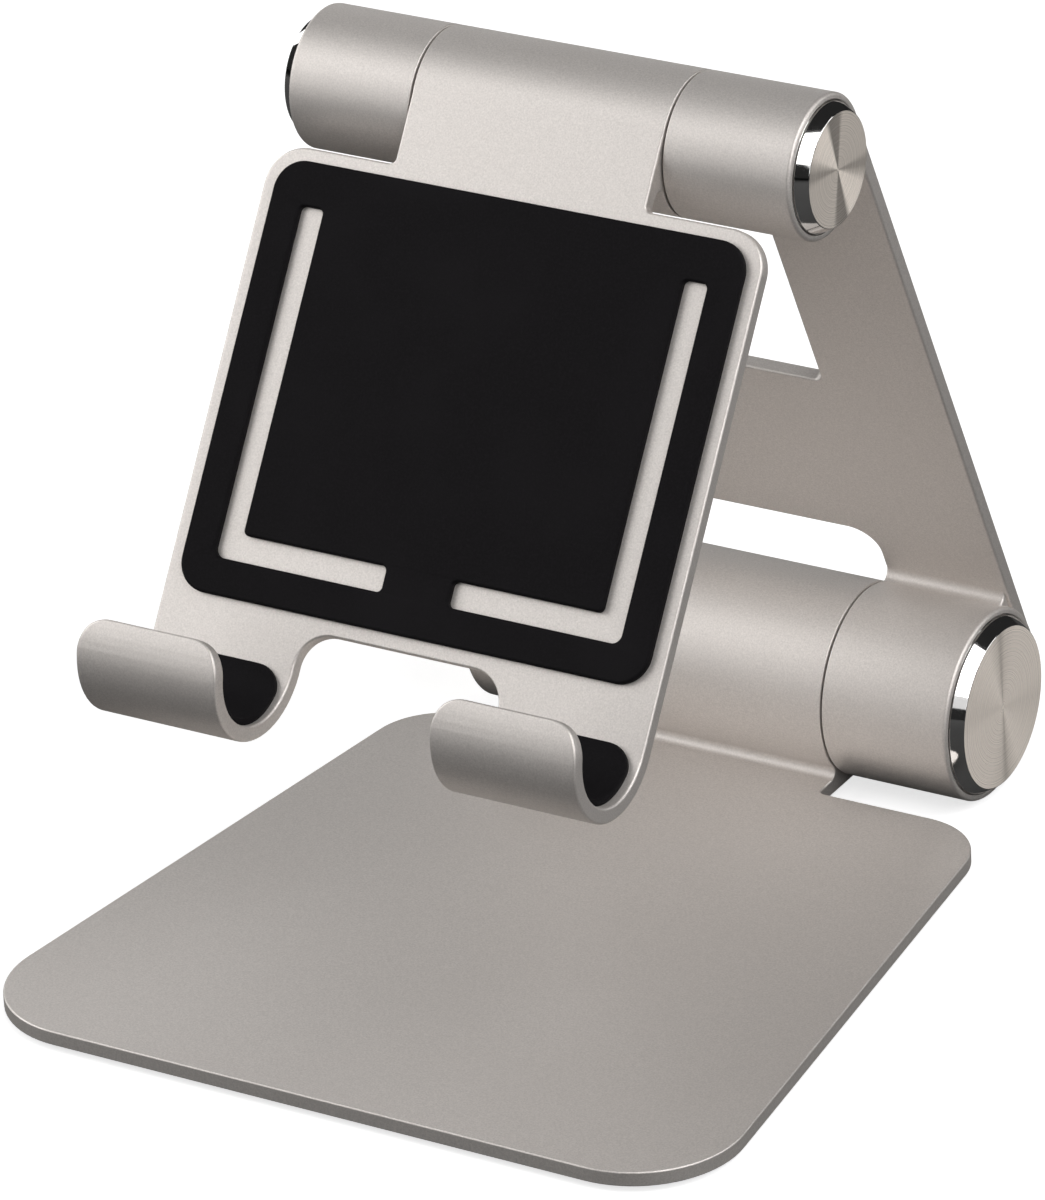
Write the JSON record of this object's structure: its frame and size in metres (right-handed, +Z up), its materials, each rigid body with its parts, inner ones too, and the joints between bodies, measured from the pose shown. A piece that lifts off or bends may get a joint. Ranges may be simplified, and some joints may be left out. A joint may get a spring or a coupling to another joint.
{
  "type": "tablet stand",
  "caption": "Adjustable metal tablet stand: tapered base plate, arm, and padded cradle with hooks, joined by round friction hinges.",
  "frame": {"origin": "on the surface the stand rests on, under the middle of its bounding box", "axes": "+X along both hinge axes, +Y from the base plate's front edge to the lower hinge, +Z up; the cradle faces -Y"},
  "size_m": [0.1288, 0.153, 0.1411],
  "materials": {
    "satin_aluminium": "bead-blasted, anodised satin silver",
    "spun_metal": "polished rim, radially spun face",
    "black_rubber": "matt black silicone rubber",
    "foot_rubber": "matt black",
    "shaft_steel": "ground",
    "bush_bronze": "machined bronze",
    "black_polymer": "acetal"
  },
  "bodies": {
    "base": {"base_plate": "satin_aluminium", "foot_front_left": "foot_rubber", "foot_front_right": "foot_rubber", "foot_rear_left": "foot_rubber", "foot_rear_right": "foot_rubber", "lower_disc_spring_left": "shaft_steel", "lower_disc_spring_right": "shaft_steel", "lower_nut_left": "shaft_steel", "lower_nut_right": "shaft_steel", "lower_pressure_washer_left": "shaft_steel", "lower_pressure_washer_right": "shaft_steel", "lower_shaft": "shaft_steel", "lower_thrust_washer_left": "black_polymer", "lower_thrust_washer_right": "black_polymer"},
    "arm": {"arm_plate": "satin_aluminium", "lower_bush_left": "bush_bronze", "lower_bush_right": "bush_bronze", "lower_end_cap_left": "spun_metal", "lower_end_cap_right": "spun_metal", "lower_friction_disc_left": "bush_bronze", "lower_friction_disc_right": "bush_bronze", "upper_bush_left": "bush_bronze", "upper_bush_right": "bush_bronze", "upper_end_cap_left": "spun_metal", "upper_end_cap_right": "spun_metal", "upper_friction_disc_left": "bush_bronze", "upper_friction_disc_right": "bush_bronze"},
    "cradle": {"cradle_pad": "black_rubber", "cradle_plate": "satin_aluminium", "hook_liner_left": "black_rubber", "hook_liner_right": "black_rubber", "upper_disc_spring_left": "shaft_steel", "upper_disc_spring_right": "shaft_steel", "upper_nut_left": "shaft_steel", "upper_nut_right": "shaft_steel", "upper_pressure_washer_left": "shaft_steel", "upper_pressure_washer_right": "shaft_steel", "upper_shaft": "shaft_steel", "upper_thrust_washer_left": "black_polymer", "upper_thrust_washer_right": "black_polymer"}
  },
  "joints": [
    {"name": "lower_hinge", "type": "hinge", "parent": "base", "child": "arm", "pos_m": [0, 0.0605, 0.0168], "axis": [1, 0, 0], "range_deg": [-110, 16]},
    {"name": "upper_hinge", "type": "hinge", "parent": "arm", "child": "cradle", "pos_m": [0, 0.01366, 0.12965], "axis": [1, 0, 0], "range_deg": [-120, 58]}
  ]
}
